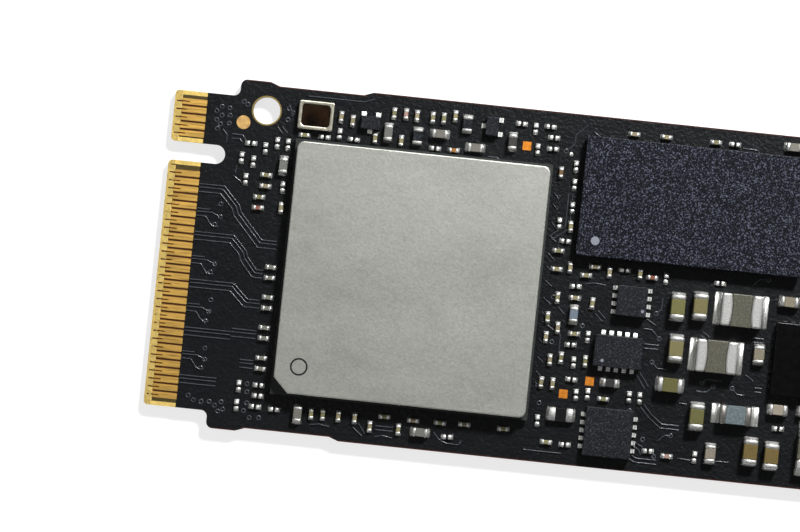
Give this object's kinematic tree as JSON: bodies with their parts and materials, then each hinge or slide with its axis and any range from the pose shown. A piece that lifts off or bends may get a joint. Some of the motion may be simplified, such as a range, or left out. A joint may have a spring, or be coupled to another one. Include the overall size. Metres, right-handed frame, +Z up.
{
  "type": "m2 nvme ssd",
  "caption": "Bare M.2 2280 solid-state drive: slim black board with a gold card edge, a lidded controller, memory and flash chips, power parts and a screw notch.",
  "frame": {"origin": "middle of the board's underside", "axes": "+X along the board from the card edge to the screw notch, +Y across it towards the key notch's side, +Z up from the underside to the chips"},
  "size_m": [0.08, 0.022, 0.002],
  "materials": {
    "solder_mask": "black solder mask over glass laminate",
    "contact_gold": "hard gold plating",
    "bare_copper": "bare copper with a thin protective film",
    "solder": "bright tin solder",
    "terminal_tin": "tin-plated terminals",
    "lid_nickel": "satin nickel plating over copper",
    "substrate": "chip substrate laminate",
    "silicon": "polished silicon",
    "thermal_paste": "soft thermal compound",
    "mould": "moulded chip compound with fine speckle",
    "crystal_ceramic": "dark fired ceramic",
    "crystal_ring": "plated seal ring",
    "crystal_lid": "dark mirror-smooth metal",
    "ferrite": "grey ferrite",
    "choke_ferrite": "blue-grey ferrite",
    "capacitor_ceramic": "khaki fired ceramic",
    "resistor_glaze": "black glass glaze"
  },
  "bodies": {
    "root": {"circuit_board": "solder_mask", "edge_contacts_top": "contact_gold", "edge_contacts_bottom": "contact_gold", "ground_pad_top": "contact_gold", "ground_pad_bottom": "contact_gold", "fiducial_mark": "contact_gold", "test_pads": "bare_copper", "controller_solder_balls": "solder", "controller_substrate": "substrate", "controller_die": "silicon", "controller_thermal_paste": "thermal_paste", "controller_lid": "lid_nickel", "memory_package": "mould", "memory_solder_balls": "solder", "flash_1_package": "mould", "flash_1_solder_balls": "solder", "flash_2_package": "mould", "flash_2_solder_balls": "solder", "crystal_base": "crystal_ceramic", "crystal_seal_ring": "crystal_ring", "crystal_lid": "crystal_lid", "power_manager_body": "mould", "power_manager_leads": "terminal_tin", "regulator_body": "mould", "regulator_leads": "terminal_tin", "load_switch_body": "mould", "load_switch_leads": "terminal_tin", "surge_guard_body": "mould", "surge_guard_leads": "terminal_tin", "transistor_bodies": "mould", "transistor_leads": "terminal_tin", "diode_bodies": "mould", "diode_terminals": "terminal_tin", "inductor_cores": "ferrite", "inductor_terminals": "terminal_tin", "choke_body": "choke_ferrite", "choke_terminals": "terminal_tin", "tiny_capacitor_bodies": "capacitor_ceramic", "tiny_capacitor_terminals": "terminal_tin", "small_capacitor_bodies": "capacitor_ceramic", "small_capacitor_terminals": "terminal_tin", "medium_capacitor_bodies": "capacitor_ceramic", "medium_capacitor_terminals": "terminal_tin", "large_capacitor_bodies": "capacitor_ceramic", "large_capacitor_terminals": "terminal_tin", "tiny_resistor_bodies": "resistor_glaze", "tiny_resistor_terminals": "terminal_tin", "wide_resistor_body": "resistor_glaze", "wide_resistor_terminals": "terminal_tin", "solder_fillets": "solder"}
  },
  "joints": []
}
